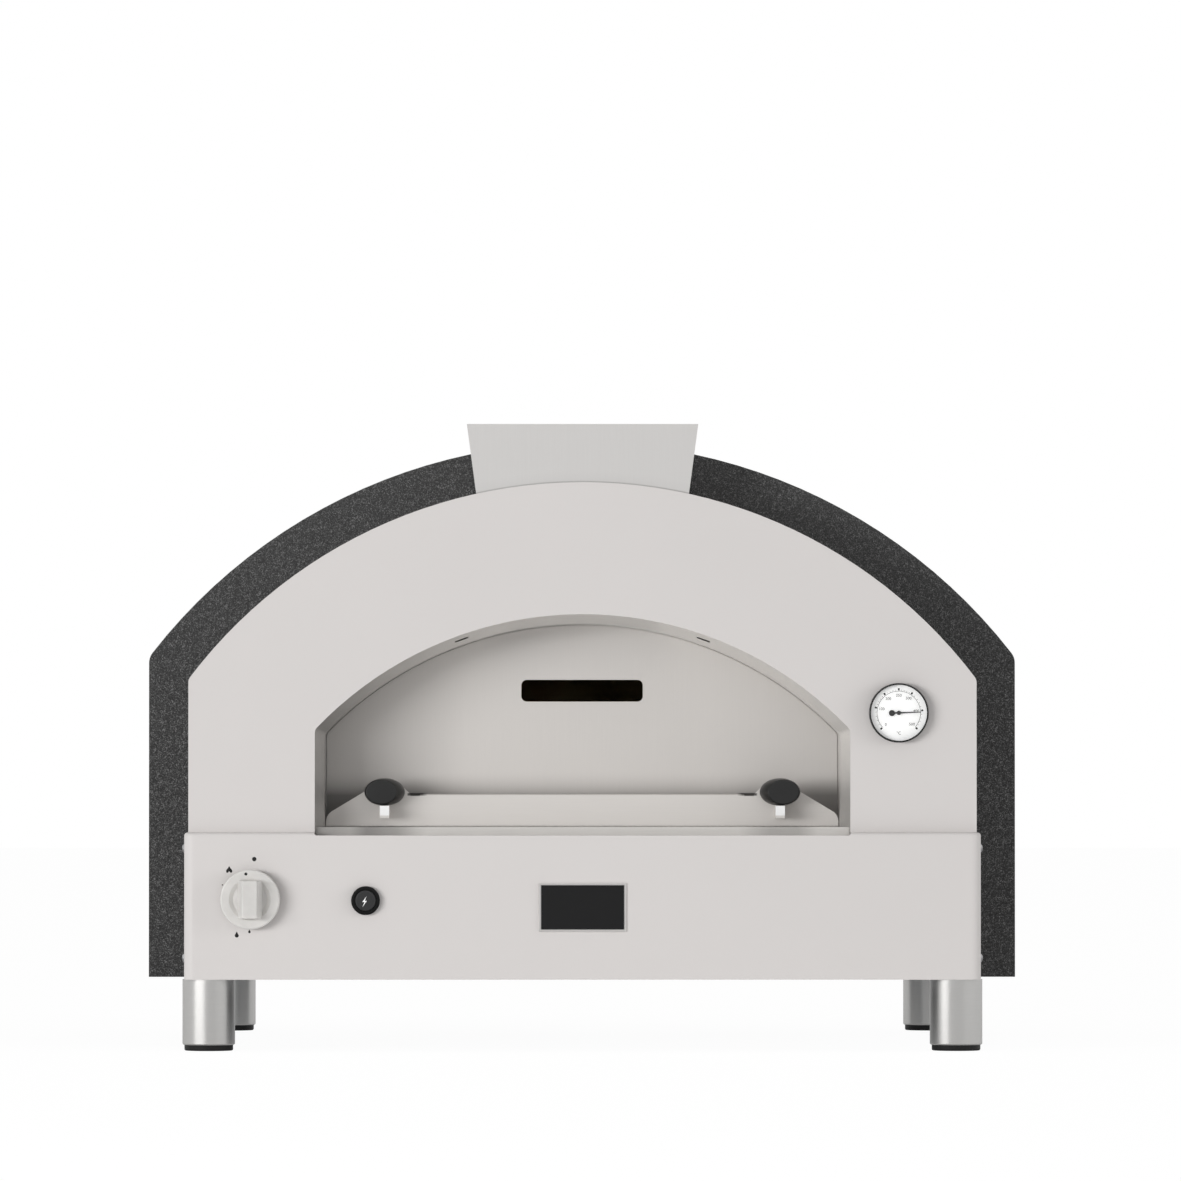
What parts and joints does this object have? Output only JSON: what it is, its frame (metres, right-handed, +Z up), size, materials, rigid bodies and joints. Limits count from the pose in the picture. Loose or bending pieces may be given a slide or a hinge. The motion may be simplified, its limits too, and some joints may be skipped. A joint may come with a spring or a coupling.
{
  "type": "portable pizza oven",
  "caption": "Arched gas pizza oven with an insulated vault, tiled hearth, side burner, lift-out door, chimney, dial thermometer and tubular legs.",
  "frame": {"origin": "on the ground under the middle of the oven's overall box", "axes": "+X to the right of someone facing the mouth, +Y from the mouth to the back, +Z up"},
  "size_m": [0.6328, 0.588, 0.4529],
  "materials": {
    "pale_coat": "warm light grey powder coat, satin",
    "dark_coat": "dark grey speckled textured powder coat",
    "chimney_steel": "fine-ground stainless sheet",
    "liner_steel": "satin stainless sheet",
    "zinc_steel": "zinc-coated steel sheet",
    "chamber_steel": "heat-tinted stainless sheet",
    "fibre": "white ceramic fibre",
    "refractory": "pale cordierite, sawn and baked",
    "brass": "machined brass",
    "spark_ceramic": "white alumina with a steel wire",
    "lead_rubber": "silicone-covered lead",
    "pipe_aluminium": "drawn tube",
    "spindle_steel": "turned steel",
    "knob_plastic": "light grey moulded plastic, satin",
    "black_plastic": "black moulded plastic",
    "leg_steel": "brushed stainless tube",
    "glide_plastic": "black moulded plastic",
    "case_black": "black gloss enamel",
    "dial_enamel": "white dial",
    "glass": "clear flat glass",
    "needle_paint": "black enamelled needle"
  },
  "bodies": {
    "oven": {"base_pan": "zinc_steel", "burner_guard": "chamber_steel", "burner_injector": "brass", "burner_trough": "chamber_steel", "burner_tube": "chamber_steel", "chamber_front_wall": "chamber_steel", "chamber_rear_wall": "chamber_steel", "chamber_vault": "chamber_steel", "chimney": "chimney_steel", "control_panel": "pale_coat", "floor_insulation": "fibre", "floor_tray": "zinc_steel", "flue_collar": "chimney_steel", "front_fascia": "pale_coat", "front_insulation": "fibre", "front_surround": "pale_coat", "gas_inlet": "brass", "glide_front_left": "glide_plastic", "glide_front_right": "glide_plastic", "glide_rear_left": "glide_plastic", "glide_rear_right": "glide_plastic", "hearth_tile_front_left": "refractory", "hearth_tile_front_right": "refractory", "hearth_tile_rear_left": "refractory", "hearth_tile_rear_right": "refractory", "igniter_body": "black_plastic", "igniter_nut": "zinc_steel", "ignition_lead": "lead_rubber", "inlet_locknut": "brass", "leg_bolts": "zinc_steel", "leg_front_left": "leg_steel", "leg_front_right": "leg_steel", "leg_rear_left": "leg_steel", "leg_rear_right": "leg_steel", "manifold_pipe": "pipe_aluminium", "mouth_liner": "liner_steel", "mouth_sill": "liner_steel", "outer_shell": "dark_coat", "rear_insulation": "fibre", "rear_panel": "dark_coat", "spark_electrode": "spark_ceramic", "thermocouple": "chamber_steel", "thermometer_case": "case_black", "thermometer_dial": "dial_enamel", "thermometer_glass": "glass", "thermometer_nut": "spindle_steel", "thermometer_probe": "spindle_steel", "valve_body": "brass", "valve_bracket": "zinc_steel", "vault_blanket": "fibre"},
    "door": {"door_panel": "liner_steel", "door_foot": "liner_steel", "door_knob_left": "black_plastic", "door_knob_right": "black_plastic"},
    "valve_rotor": {"valve_plug": "brass"},
    "gas_knob": {"valve_spindle": "spindle_steel", "control_knob": "knob_plastic"},
    "igniter_push": {"igniter_button": "black_plastic"},
    "dial_needle": {"thermometer_needle": "needle_paint"}
  },
  "joints": [
    {"name": "door_pull_out", "type": "slide", "parent": "oven", "child": "door", "axis": [0, -1, 0], "range_m": [0, 0.26]},
    {"name": "gas_knob_turn", "type": "hinge", "parent": "oven", "child": "valve_rotor", "pos_m": [-0.2396, -0.241, 0.1095], "axis": [0, -1, 0], "range_deg": [0, 155]},
    {"name": "gas_knob_push", "type": "slide", "parent": "valve_rotor", "child": "gas_knob", "axis": [0, 1, 0], "range_m": [0, 0.003], "stiffness_N_per_m": 900, "springref_m": -0.002},
    {"name": "igniter_push", "type": "slide", "parent": "oven", "child": "igniter_push", "axis": [0, 1, 0], "range_m": [0, 0.005], "stiffness_N_per_m": 600, "springref_m": -0.002},
    {"name": "needle_swing", "type": "hinge", "parent": "oven", "child": "dial_needle", "pos_m": [0.2284, -0.2646, 0.244], "axis": [0, 1, 0], "range_deg": [-230, 45]}
  ]
}
